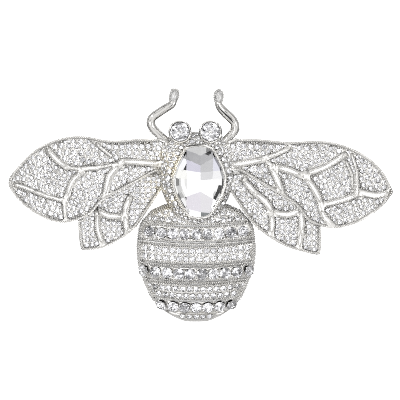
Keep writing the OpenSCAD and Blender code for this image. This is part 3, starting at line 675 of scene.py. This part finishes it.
class Bench:
    """A fine map of the casting from above, and the stones and beads laid over it"""

    def __init__(self, stones):
        self.stones, self.draw = stones, random.Random(stones.seed)
        self.set_stones = {
            node: cad_stones(node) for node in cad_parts
            if "stones" in node or "row_stone" in node}
        self.map_surface()
        own = {node: [seat_room(s) if ROW in node else s for s in group]
               for node, group in self.set_stones.items()}
        wings = own["left_wing_stones"] + own["right_wing_stones"]
        chest = own["thorax_stones"] + own["neck_row_stones"]
        belly = [s for node, group in own.items() if "wing" not in node for s in group]
        most, least = stones.wing_largest / MM, stones.wing_smallest / MM
        self.fills = {
            "fore": self.fill("fore", wings, graded(most, least, 7), WING_BEADS),
            "hind": self.fill("hind", [], graded(most * 0.93, least, 6), WING_BEADS),
            "chest": self.fill("chest", chest, graded(most * 0.68, least * 0.8, 6), CHEST_BEADS),
            "belly": self.fill("belly", belly, graded(0.5, least, 6), BELLY_BEADS),
        }
        every = [s for group in own.values() for s in group] + self.laid("stones", *self.fills)
        self.fills["flank"] = {"stones": [], "beads": self.scatter(self.flank, every)}

    def laid(self, kind, *floors):
        """The stones or beads laid over some floors"""
        return [s for floor in floors for s in self.fills[floor][kind]]

    def map_surface(self):
        """Looks down on the casting and marks what may carry small stones"""
        bm = merged_copy("frame")
        tree = BVHTree.FromBMesh(bm)
        bm.free()
        shape = len(YS), len(XS)
        height, facing = self.height, self.facing = np.full(shape, -1.0), np.zeros((*shape, 3))
        fore, hind, chest = (np.zeros(shape, bool) for _ in range(3))
        down = Vector((0, 0, -1))
        for i, x in enumerate(XS):
            levels = arch_z(x, FORE_FLOOR), arch_z(x, HIND_FLOOR)
            for j, y in enumerate(YS):
                hit, normal, _, _ = tree.ray_cast(Vector((x * MM, y * MM, SKY * MM)), down)
                if hit is None:
                    continue
                z = hit.z / MM
                height[j, i], facing[j, i] = z, normal
                fore[j, i] = abs(z - levels[0]) < LEVEL_SLACK
                hind[j, i] = abs(z - levels[1]) < LEVEL_SLACK
                chest[j, i] = abs(z - thorax_z(x, y)) < THORAX_SLACK
        across, y, up = np.abs(XS - SHIFT_X), YS[:, None], facing[:, :, 2]
        fore[:, across < BODY_HALF] = hind[:, across < BODY_HALF] = False
        belly = (y < BELLY_TOP) & (across < BELLY_HALF)
        belly &= (height > BELLY_FOOT) & (height < BELLY_PEAK) & ~chest & ~fore & ~hind
        self.grooves = belly & (dip(height) > GROOVE_DIP)
        flat = (up > BAND_FLAT) & (np.abs(facing[:, :, 1]) < BAND_LEAN)
        sides = (across < THORAX_HALF) & (y > BELLY_TOP) & (y < THORAX_END)
        rim = np.array([arch_z(x, FORE_RIM) for x in XS])
        sides &= (height > rim + OVER_WING) & (height < COLLAR_FOOT)
        sides &= up < SIDE_FLAT
        chest &= up > CHEST_FLAT
        self.flank = (belly & ~flat & ~self.grooves | sides & ~chest) & (up > FLANK_FLAT)
        self.floors = {
            "fore": fore & ~chest, "hind": hind & ~chest,
            "chest": chest, "belly": belly & flat & ~self.grooves}

    def fill(self, floor, fixed, radii, beads):
        """Small stones over a floor, round those already there, and beads between them"""
        gap = self.stones.spacing / MM
        space = room(self.floors[floor])
        clear, apart = space.copy(), np.full(space.shape, OPEN)
        for s in fixed:
            for field in (clear, apart):
                take(field, s.place.x / MM, s.place.y / MM, s.radius / MM + gap)
        laid = pack(clear, radii, gap)
        for x, y, radius in laid:
            take(apart, x, y, radius + gap)
        free = np.minimum(space + WALL_SLACK, apart + STONE_SLACK)
        between = pack(free, beads, 0.0, tightest=False)
        return {"stones": [self.seated(*spot) for spot in laid],
                "beads": [self.seated(*spot) for spot in between]}

    def scatter(self, mask, fixed):
        """Beads over steep ground, kept apart along the surface and clear of the stones"""
        spots = np.argwhere(mask)
        taken = np.zeros((len(fixed) + len(spots), 4))
        for row, stone in zip(taken, fixed):
            row[:] = (*(stone.place / MM), stone.radius / MM)
        count, beads = len(fixed), []
        for j, i in spots:
            bead = self.seated(XS[i], YS[j], FLANK_BEAD)
            place = np.array(bead.place / MM)
            away = np.linalg.norm(taken[:count, :3] - place, axis=1) - taken[:count, 3]
            if away.min() > FLANK_BEAD:
                taken[count] = (*place, FLANK_BEAD)
                count += 1
                beads.append(bead)
        return beads

    def seated(self, x, y, radius):
        """A stone on the casting at a place in the map"""
        i, j = np.searchsorted(XS, x - 1e-6), np.searchsorted(YS, y - 1e-6)
        normal = Vector(self.facing[j, i])
        place = Vector((x, y, self.height[j, i])) * MM + normal * STONE_GAP * MM
        return Stone(place, normal, radius * MM)

    def groove_grains(self):
        """Grains along the middle of each groove, thick at the sides and none in the middle"""
        for i in range(0, len(XS), round(GRAIN_STEP / STEP)):
            column = np.flatnonzero(self.grooves[:, i])
            chance = (abs(XS[i] - SHIFT_X) - PLAIN_HALF) / PLAIN_FADE
            for run in np.split(column, np.flatnonzero(np.diff(column) > 1) + 1):
                if len(run) > 2 and self.draw.random() < chance:
                    y, size = YS[run[len(run) // 2]], self.draw.uniform(0.8, 1.1) * GRAIN
                    yield self.seated(XS[i], y, size)

    def in_groove(self, point):
        i, j = np.searchsorted(XS, point.x / MM), np.searchsorted(YS, point.y / MM)
        inside = i < len(XS) and j < len(YS)
        return bool(inside and self.grooves[j, i]
                    and abs(point.z / MM - self.height[j, i]) < GROOVE_DIP)

    def turned(self, stone):
        """A stone's matrix with a random turn and a slight lean"""
        lean = self.stones.tilt
        sway = Vector((self.draw.uniform(-lean, lean), self.draw.uniform(-lean, lean), 0))
        facing = (stone.normal + sway).normalized()
        return Stone(stone.place, facing, stone.radius).matrix(self.draw.uniform(0, math.pi))


@cache
def bench():
    return Bench(bpy.context.scene.brooch_stones)


def put_crystals(name, stones, kind="small", back="foil", replaces=()):
    """A piece of cut stones, each turned in its seat"""
    jobs = [(templates()[kind], bench().turned(s)) for s in stones]
    put(name, stamped(name, jobs), CRYSTAL, [finishes()["face"], finishes()[back]], replaces)


def put_beads(name, beads, share=1.0):
    """A piece of round beads"""
    jobs = [(templates()["bead"], s.matrix(share=share)) for s in beads]
    put(name, stamped(name, jobs), METAL, [finishes()["bead"]])


# Operators, each after the functions that only it needs
class BROOCH_OT_frame(bpy.types.Operator):
    """Cast frame with a drilled seat under each stone"""
    bl_idname = "brooch.frame"
    bl_label = "Cast frame"
    # The finishes of painted shade that the seats pass on to the cut faces
    PAINTED_SEAT_SHADES = ("painted_seat_shade", "deep")

    def execute(self, context):
        shop, cut, look = bench(), templates(), finishes()
        longer = Matrix.Diagonal((1.0, 1.0 + LARGE_SEAT_UP, 1.0, 1.0))
        jobs = []
        for node, group in shop.set_stones.items():
            for s in group:
                if ROW in node:
                    wide = Stone(seat_room(s).place, s.normal, s.radius)
                    jobs.append((cut["wide_seat"], wide.matrix() @ longer))
                else:
                    jobs.append((cut["seat"], s.matrix()))
        jobs += [(cut["seat"], s.matrix()) for s in shop.laid("stones", *shop.fills)]
        # The seats carry painted shade, near black in the wide seats, which the cut passes on to
        # the casting
        cutter = laid_out("seats", stamped("seats", jobs))
        for finish in self.PAINTED_SEAT_SHADES:
            cutter.data.materials.append(look[finish])
        body = laid_out("casting", mesh_of("casting", merged_copy("frame")))
        body.data.materials.clear()
        body.data.materials.append(look["plate"])
        drill = body.modifiers.new("seats", "BOOLEAN")
        drill.operation, drill.solver, drill.object = "DIFFERENCE", "MANIFOLD", cutter
        drill.material_mode = "TRANSFER"
        mesh = applied(body)
        if len(mesh.polygons) <= len(body.data.polygons):
            raise RuntimeError("the seats were not cut")
        for item in (cutter, body):
            bpy.data.objects.remove(item)
        drilled = {mesh.materials.find(look[finish].name) for finish in self.PAINTED_SEAT_SHADES}
        if -1 in drilled:
            raise RuntimeError("the seats have no finish of their own")
        # Groove faces get a painted shade, the wings' upright walls a painted light
        groove = len(mesh.materials)
        mesh.materials.append(look["groove"])
        mesh.materials.append(look["wall"])
        for face in mesh.polygons:
            if face.material_index in drilled:
                continue
            if shop.in_groove(face.center):
                face.material_index = groove
            elif abs(body_x(face.center.x / MM)) > WALL_FROM and abs(face.normal.z) < WALL_FLAT:
                face.material_index = groove + 1
        mesh.shade_smooth()
        mesh.set_sharp_from_angle(angle=math.radians(38))
        put("bee_frame", mesh, METAL, [], ["frame"])
        return {"FINISHED"}


class BROOCH_OT_wing_stones(bpy.types.Operator):
    """Small stones set close over the wings, and the beads that hold them"""
    bl_idname = "brooch.wing_stones"
    bl_label = "Wing stones"

    def execute(self, context):
        shop = bench()
        for side, sign in (("left", -1), ("right", 1)):
            node = f"{side}_wing_stones"
            own = [s for s in shop.laid("stones", "fore", "hind") if s.place.x * sign > 0]
            put_crystals(f"{side}_wing_crystals", shop.set_stones[node], replaces=[node])
            put_crystals(f"{side}_wing_pave", own)
        put_beads("wing_stone_beads", shop.laid("beads", "fore", "hind"), BEAD_SHARE)
        return {"FINISHED"}


class BROOCH_OT_thorax_stones(bpy.types.Operator):
    """Small stones over the thorax and the ring round the centre stone"""
    bl_idname = "brooch.thorax_stones"
    bl_label = "Thorax stones"

    def execute(self, context):
        shop = bench()
        ring_stones = shop.set_stones["thorax_stones"]
        put_crystals("thorax_ring_crystals", ring_stones, replaces=["thorax_stones"])
        put_crystals("thorax_pave", shop.laid("stones", "chest"))
        put_beads("thorax_stone_beads", shop.laid("beads", "chest"), BEAD_SHARE)
        return {"FINISHED"}


class BROOCH_OT_abdomen_stones(bpy.types.Operator):
    """Rows of stones across the abdomen, each stone held by small claws"""
    bl_idname = "brooch.abdomen_stones"
    bl_label = "Abdomen stones"

    def execute(self, context):
        shop, claws = bench(), []
        for node, stones in shop.set_stones.items():
            if node in ("left_wing_stones", "right_wing_stones", "thorax_stones"):
                continue
            kind, back = ("large", "soft_foil") if ROW in node else ("small", "foil")
            put_crystals(f"{node}_cut", stones, kind, back, [node])
            for s in stones:
                across = Vector((0, 1, 0)).cross(s.normal).normalized()
                along = s.normal.cross(across)
                for a, b in CLAW_CORNERS:
                    out = (across * a + along * b).normalized() * (s.radius + CLAW_GAP * MM)
                    size = min(s.radius * CLAW_SHARE, CLAW * MM)
                    claws.append(Stone(s.place + out, s.normal, size))
        put_beads("abdomen_claws", claws)
        put_beads("groove_grains", shop.groove_grains())
        put_crystals("abdomen_pave", shop.laid("stones", "belly"))
        put_beads("abdomen_beads", shop.laid("beads", "belly", "flank"), BEAD_SHARE)
        return {"FINISHED"}


def centre_mesh():
    """Clear crown over a shallow silvered back, whose facets run in rows bent to a point"""
    low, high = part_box("centre_stone")
    middle, half = (low + high) / 2, (high - low) / 2
    floor, near = (STONE_Z - GIRDLE_T) * MM, 0.01 * MM
    bm = merged_copy("centre_stone")
    bmesh.ops.dissolve_limit(
        bm, angle_limit=math.radians(0.5), verts=bm.verts[:], edges=bm.edges[:])
    below = [f for f in bm.faces if f.calc_center_median().z < floor - near]
    bmesh.ops.delete(bm, geom=below, context="FACES")
    bmesh.ops.contextual_create(bm, geom=[e for e in bm.edges if e.is_boundary])

    def at(x, y):
        return Vector((middle.x + x * MM, middle.y + y * MM, floor))

    keel = at(BACK_KEEL, 0).x

    def part(side, place, normal):
        """Scores the flat back along a line, on one side of the keel or on both"""
        geom = set()
        for f in bm.faces:
            c = f.calc_center_median()
            if abs(c.z - floor) < near and abs(f.normal.z) > 0.9 and (
                    not side or (c.x - keel) * side > 0):
                geom.update((f, *f.edges, *f.verts))
        bmesh.ops.bisect_plane(
            bm, geom=list(geom), dist=SAME, plane_co=place, plane_no=normal)

    for x in BACK_COLUMNS:
        part(0, at(x, 0), (1, 0, 0))
    for left, mid, right in BACK_ROWS:
        for side, y in ((-1, left), (1, right)):
            a, b = at(BACK_KEEL, mid), at(side * BACK_SIDE, y)
            part(side, a, (b - a).cross(UP))
    rim = {v for e in bm.edges for v in e.verts if any(abs(f.normal.z) < 0.5 for f in e.link_faces)}
    draw = random.Random(3)
    for v in sorted(bm.verts, key=lambda v: (round(v.co.y, 6), round(v.co.x, 6), v.co.z)):
        if abs(v.co.z - floor) < near and v not in rim:
            out = ((v.co.x - middle.x) / half.x) ** 2 + ((v.co.y - middle.y) / half.y) ** 2
            v.co.z -= (BACK_DEPTH * max(1 - out, 0) + draw.uniform(0, BACK_UNEVEN)) * MM
    faces = [f for f in bm.faces if f.calc_center_median().z < floor + near / 2]
    bmesh.ops.recalc_face_normals(bm, faces=bm.faces[:])
    for face in bm.faces:
        face.material_index = int(face in faces or abs(face.normal.z) < UPRIGHT)
    mesh = mesh_of("centre", bm)
    # Each facet of the back carries its grey of painted reflection, the upright edge the silver
    foil_and_painted_reflection = mesh.attributes.new("foil_and_painted_reflection", "FLOAT_COLOR", "FACE")
    for face in mesh.polygons:
        x, y = (face.center.x - middle.x) / MM, (face.center.y - middle.y) / MM
        bend = min(abs(x - BACK_KEEL) / BACK_SIDE, 1.5)
        column = sum(x > edge for edge in BACK_COLUMNS)
        row = sum(y < mid + ((left if x < BACK_KEEL else right) - mid) * bend
                  for left, mid, right in BACK_ROWS)
        cast = GIRDLE_TONE if abs(face.normal.z) < UPRIGHT else BACK_PAINTED_REFLECTIONS[row][column]
        foil_and_painted_reflection.data[face.index].color = (*cast, 1.0)
    return mesh


def lip_mesh(middle):
    """The setting's edge, rubbed over on to the stone"""
    bm = merged_copy("centre_stone")
    level = Vector((0, 0, (STONE_Z - GIRDLE_T / 2) * MM))
    bmesh.ops.bisect_plane(
        bm, geom=[*bm.verts, *bm.edges, *bm.faces], dist=SAME, plane_co=level, plane_no=UP,
        clear_inner=True, clear_outer=True)
    first = bm.edges[:]
    points = {v for e in first for v in e.verts}
    loops = [first]
    for _ in LIP[1:]:
        made = bmesh.ops.duplicate(bm, geom=[*first, *points])["geom"]
        loops.append([g for g in made if isinstance(g, BMEdge)])
    for loop, (out, up) in zip(loops, LIP):
        for v in {v for e in loop for v in e.verts}:
            away = Vector((v.co.x - middle.x, v.co.y - middle.y, 0)).normalized()
            v.co += away * out * MM
            v.co.z = (STONE_Z + up) * MM
    # The order in which the loops are joined hangs on the last digit of their places
    bmesh.ops.bridge_loops(bm, edges=[e for loop in loops for e in loop], use_cyclic=True)
    return mesh_of("lip", bm, True)


def edge_grains(middle):
    """Grains in rows round the centre stone, a little uneven"""
    draw, bm = random.Random(5), merged_copy("centre_stone")
    corners = [v.co - middle for v in bm.verts if abs(v.co.z - STONE_Z * MM) < 0.05 * MM]
    bm.free()
    corners.sort(key=lambda c: math.atan2(c.y, c.x))
    for out, up, radius, step in EDGE_ROWS:
        outline = [c + Vector((c.x, c.y, 0)).normalized() * out * MM for c in corners]
        for a, b in zip(outline, outline[1:] + outline[:1]):
            steps = max(round((b - a).length / (step * MM)), 1)
            for k in range(steps):
                spot = middle + a.lerp(b, (k + draw.uniform(-0.2, 0.2)) / steps)
                size = radius * draw.uniform(0.75, 1.1)
                if up is None:
                    yield bench().seated(spot.x / MM, spot.y / MM, size)
                else:
                    spot.z = (STONE_Z + up) * MM
                    yield Stone(spot, UP, size * MM)


class BROOCH_OT_main_stones(bpy.types.Operator):
    """The long centre stone and the two round eyes"""
    bl_idname = "brooch.main_stones"
    bl_label = "Centre stone and eyes"

    def execute(self, context):
        cut, look = templates(), finishes()
        low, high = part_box("centre_stone")
        middle = (low + high) / 2
        put("centre_setting_lip", lip_mesh(middle), METAL, [look["bead"]])
        put_beads("centre_setting_grains", edge_grains(middle))
        put("centre_crystal", centre_mesh(), CRYSTAL, [look["clear"], look["silvered"]],
            ["centre_stone"])
        for node in ("left_eye_stone", "right_eye_stone"):
            low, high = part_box(node)
            middle = (low + high) / 2
            place = Vector((middle.x, middle.y, high.z - EYE_CROWN * MM))
            matrix = Stone(place, UP, (high.x - low.x) / 2).matrix(0.2)
            put(node.replace("stone", "crystal"), stamped(node, [(cut["eye"], matrix)]),
                CRYSTAL, [look["face"], look["soft_foil"]], [node])
        return {"FINISHED"}


def rim_edges(bm, level):
    """Edges of the raised level with the direction into the metal, over the open or not"""
    flat = {face for face in bm.faces if face.normal.z > 0.9 and all(
        abs(v.co.z / MM - arch_z(v.co.x / MM, level)) < RIM_SLACK for v in face.verts)}
    sorts = {"open": {}, "inner": {}}
    for edge in bm.edges:
        tops = [f for f in edge.link_faces if f in flat]
        if len(tops) != 1 or len(edge.link_faces) != 2:
            continue
        wall = next(f for f in edge.link_faces if f not in flat)
        fall = max(v.co.z for v in edge.verts) - min(v.co.z for v in wall.verts)
        if wall.normal.z > 0.9 or fall < EDGE_FALL * MM:
            continue
        first, second = edge.verts[0].co, edge.verts[1].co
        inward = (second - first).normalized().cross(UP).normalized()
        if inward.dot(tops[0].calc_center_median() - first) < 0:
            inward = -inward
        sorts["open" if fall > OPEN_FALL * MM else "inner"][edge] = inward
    return sorts


def chained(edges):
    """Runs of edges end to end, as lists of (point, inward)"""
    links = defaultdict(list)
    for edge in edges:
        for v in edge.verts:
            links[v].append(edge)
    left = set(edges)
    for first in sorted(edges, key=lambda e: (min(len(links[v]) for v in e.verts), e.index)):
        if first not in left:
            continue
        v = min(first.verts, key=lambda p: len(links[p]))
        run, edge = [], first
        while edge is not None:
            left.discard(edge)
            run.append((v.co.copy(), edges[edge]))
            v = edge.other_vert(v)
            last = edges[edge]
            edge = next((e for e in links[v] if e in left), None)
        run.append((v.co.copy(), last))
        yield run


def spaced(run, inset, step):
    """Places at an even step along a run, moved into the metal"""
    points = []
    for i, (point, inward) in enumerate(run):
        mean = (inward + run[max(i - 1, 0)][1]).normalized()
        points.append(point + mean * inset)
    legs = [(b - a).length for a, b in zip(points, points[1:])]
    total = sum(legs)
    count = max(int(total / step), 1)
    walked, leg = 0.0, 0
    for k in range(count):
        want = (k + 0.5) * total / count
        while leg < len(legs) - 1 and walked + legs[leg] < want:
            walked += legs[leg]
            leg += 1
        share = (want - walked) / max(legs[leg], 1e-9)
        yield points[leg].lerp(points[leg + 1], min(max(share, 0), 1))


def crowded(placed, point, near):
    block = np.array(placed)
    return np.hypot(block[:, 0] - point.x, block[:, 1] - point.y).min() < near


class BROOCH_OT_beading(bpy.types.Operator):
    """Rows of fine beads along the wings' rims, slots and veins"""
    bl_idname = "brooch.beading"
    bl_label = "Wing beading"

    def execute(self, context):
        metal = context.scene.brooch_metal
        bm = merged_copy("frame")
        bm.normal_update()
        found = {level: rim_edges(bm, level) for level in (FORE_RIM, HIND_RIM)}
        placed, beads = [], []
        for kind, level in ((k, up) for k in ("open", "inner") for up in (FORE_RIM, HIND_RIM)):
            for run in chained(found[level][kind]):
                length = sum((b[0] - a[0]).length for a, b in zip(run, run[1:]))
                closed = (run[0][0] - run[-1][0]).length < CLOSED * MM
                form = "vein"
                if kind == "open":
                    form = "slot" if closed and length < SLOT_LENGTH * MM else "rim"
                size = metal.bead if form == "rim" else metal.vein_bead
                near = VEIN_APART * MM if form == "vein" else RIM_APART * size
                for point in spaced(run, INSETS[form] * MM, size * BEAD_STEP):
                    if placed and crowded(placed, point, near):
                        continue
                    placed.append(point[:2])
                    x = point.x / MM
                    point.z = (arch_z(x, level) - BEAD_SINK) * MM
                    beads.append(Stone(point, arch_normal(x, level), size / 2))
        bm.free()
        put_beads("wing_beading", beads)
        return {"FINISHED"}


def drawn_rod(name, knots):
    """A round rod through knots, each a place and a radius"""
    curve = bpy.data.curves.new(name, "CURVE")
    curve.dimensions, curve.bevel_depth, curve.bevel_resolution = "3D", 1.0, 6
    curve.use_fill_caps, curve.resolution_u = True, 6
    line = curve.splines.new("BEZIER")
    line.bezier_points.add(len(knots) - 1)
    for knot, (place, radius) in zip(line.bezier_points, knots):
        knot.co, knot.radius = place * MM, radius * MM
        knot.handle_left_type = knot.handle_right_type = "AUTO"
    rod = laid_out("rod", curve)
    plain = applied(rod)
    bm = bmesh.new()
    bm.from_mesh(plain)
    bpy.data.objects.remove(rod)
    bpy.data.meshes.remove(plain)
    bmesh.ops.remove_doubles(bm, verts=bm.verts[:], dist=SAME)
    for face in bm.faces:
        face.smooth = len(face.verts) == 4
    return mesh_of(name, bm, True)


def dark_line_knots(knots):
    """A thin line let in along the inner side of a rod's upper surface, which carries a painted
    shade
    """
    for k, radius in enumerate(DARK_LINE_R, DARK_LINE_FROM):
        along = knots[k + 1][0] - knots[k - 1][0]
        inward = Vector((-along.y, along.x, 0)).normalized() * DARK_LINE_IN
        yield knots[k][0] + inward + UP * DARK_LINE_UP * knots[k][1], radius


def club_grains(place, sizes):
    """Matrices of the grains spread evenly over a club"""
    for k in range(CLUB_GRAINS):
        z = 1 - (2 * k + 1) / CLUB_GRAINS
        out = math.sqrt(1 - z * z)
        way = Vector((out * math.cos(k * GOLDEN_TURN), out * math.sin(k * GOLDEN_TURN), z))
        spot = Vector(w * s for w, s in zip(way, sizes)) * MM
        normal = Vector(w / s for w, s in zip(way, sizes))
        yield place @ Stone(spot, normal, CLUB_GRAIN * MM).matrix()


class BROOCH_OT_antennae(bpy.types.Operator):
    """Two smooth polished antennae with rounded clubs"""
    bl_idname = "brooch.antennae"
    bl_label = "Antennae"

    def execute(self, context):
        cut, look = templates(), finishes()
        for side, sign, table, club in (
                ("left", -1, LEFT_ANTENNA, LEFT_CLUB), ("right", 1, RIGHT_ANTENNA, RIGHT_CLUB)):
            knots = [(Vector((
                SHIFT_X + sign * out * ANTENNA_REACH, SHIFT_Y + ANTENNA_Y + up * ANTENNA_L,
                ANTENNA_Z + rise)), share * ANTENNA_R + ROD_OVER) for out, up, rise, share in table]
            name = f"{side}_antenna"
            put(name, drawn_rod(name, knots), METAL, [look["polish"]])
            if side == "right":
                # A near-black line of painted shade along the right rod
                dark_line = drawn_rod("dark_line", list(dark_line_knots(knots)))
                put("right_antenna_dark_line", dark_line, METAL, [look["deep"]])
            spot, lean, sizes = club
            place = Matrix.Translation(Vector(spot) * MM) @ Matrix.Rotation(
                math.radians(lean), 4, "Z")
            shape = place @ Matrix.Diagonal((*(Vector(sizes) * MM), 1.0))
            # The club under its grains takes the mid-grey painted shade, dark between the grains
            put(f"{side}_antenna_club", stamped("club", [(cut["club"], shape)]),
                METAL, [look["groove"]])
            grains = [(cut["bead"], matrix) for matrix in club_grains(place, sizes)]
            put(f"{side}_club_grains", stamped("grains", grains), METAL, [look["bead"]])
        return {"FINISHED"}


class BROOCH_OT_pin(bpy.types.Operator):
    """Steel finish for the pin on the back"""
    bl_idname = "brooch.pin"
    bl_label = "Pin"

    def execute(self, context):
        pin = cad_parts["pin"]
        pin.data.materials.clear()
        pin.data.materials.append(finishes()["steel"])
        return {"FINISHED"}


def studio(stage):
    """A world that is white to the camera, and a tent with dark gaps to what mirrors it"""
    f = Finish("studio", "worlds")
    seen = f.node("LightPath", out="Is Camera Ray")
    way = f.node("TexCoord", out="Generated")
    height = f.axis(way, 2)
    panels = f.span(f.noise(4.6, 1.0, way), 0.39, 0.46)
    zenith = f.span(height, 0.965, 0.985)
    cover = 1.0 - (1.0 - panels) * (1.0 - zenith)
    low = f.span(height, 0.24, 0.38)
    tent = cover * (low * 0.65 + 0.35) * stage.tent + 0.08
    white = f.node("CombineColor", None, {0: tent, 1: tent, 2: tent})
    air = f.node("Background", None, {
        "Color": f.mix(seen, white, (0.97, 0.97, 0.97)), "Strength": 1.0})
    f.node("OutputWorld", None, {"Surface": air})
    return f.owner


class BROOCH_OT_stage(bpy.types.Operator):
    """Pale floor, softboxes and a camera straight above"""
    bl_idname = "brooch.stage"
    bl_label = "Stage"

    def execute(self, context):
        scene, stage = context.scene, context.scene.brooch_stage
        bm = bmesh.new()
        bmesh.ops.create_grid(bm, x_segments=8, y_segments=8, size=1.5)
        floor = laid_out("floor", mesh_of("floor", bm))
        floor.data.materials.append(paper_floor("paper_floor", stage))
        for i, (azimuth, elevation, far, wide, deep, strength) in enumerate(SOFTBOXES, 1):
            a, e = math.radians(azimuth), math.radians(elevation)
            out = Vector((math.sin(a) * math.cos(e), math.cos(a) * math.cos(e), math.sin(e)))
            lamp = bpy.data.lights.new(f"softbox_{i}", "AREA")
            lamp.shape, lamp.size, lamp.size_y = "RECTANGLE", wide, deep
            lamp.energy = stage.key * strength * wide * deep * 4 * math.pi
            box = laid_out(f"softbox_{i}", lamp)
            facing = out.to_track_quat("Z", "Y").to_matrix().to_4x4()
            box.matrix_world = Matrix.Translation(out * far) @ facing
            box.visible_camera = False
        scene.world = studio(stage)
        scene.view_settings.view_transform = "Standard"
        scene.cycles.use_denoising = False
        scene.cycles.filter_width = 1.0
        centre = Vector(PICTURE_CENTRE) * MM
        lens = bpy.data.cameras.new("camera")
        lens.sensor_width = SENSOR
        lens.lens = SENSOR * (stage.distance - centre.z) / stage.field
        lens.clip_start, lens.clip_end = 0.05, 10.0
        scene.camera = laid_out("camera", lens)
        scene.camera.location = (centre.x, centre.y, stage.distance)
        return {"FINISHED"}


class BROOCH_PT_sidebar(bpy.types.Panel):
    """Everything that dresses the brooch"""
    bl_label = "Bee Brooch"
    bl_idname = "BROOCH_PT_sidebar"
    bl_space_type = "VIEW_3D"
    bl_region_type = "UI"
    bl_category = "Bee Brooch"

    def draw(self, context):
        for name in GROUPS:
            group, box = getattr(context.scene, name), self.layout.box()
            for setting in group.__annotations__:
                box.prop(group, setting)
        for operator in OPERATORS:
            self.layout.operator(operator.bl_idname)


GROUPS = {
    "brooch_stones": StoneSettings, "brooch_metal": MetalSettings, "brooch_stage": StageSettings}
OPERATORS = (
    BROOCH_OT_stage, BROOCH_OT_frame, BROOCH_OT_wing_stones, BROOCH_OT_thorax_stones,
    BROOCH_OT_abdomen_stones, BROOCH_OT_main_stones, BROOCH_OT_beading, BROOCH_OT_antennae,
    BROOCH_OT_pin)


def register():
    for name, group in GROUPS.items():
        bpy.utils.register_class(group)
        setattr(bpy.types.Scene, name, PointerProperty(type=group))
    for item in (*OPERATORS, BROOCH_PT_sidebar):
        bpy.utils.register_class(item)


def unregister():
    for item in (*OPERATORS, BROOCH_PT_sidebar):
        bpy.utils.unregister_class(item)
    for name, group in GROUPS.items():
        delattr(bpy.types.Scene, name)
        bpy.utils.unregister_class(group)


def main():
    """Dresses the brooch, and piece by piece"""
    register()
    for operator in OPERATORS:
        area, action = operator.bl_idname.split(".")
        getattr(getattr(bpy.ops, area), action)()


if __name__ == "__main__":
    main()
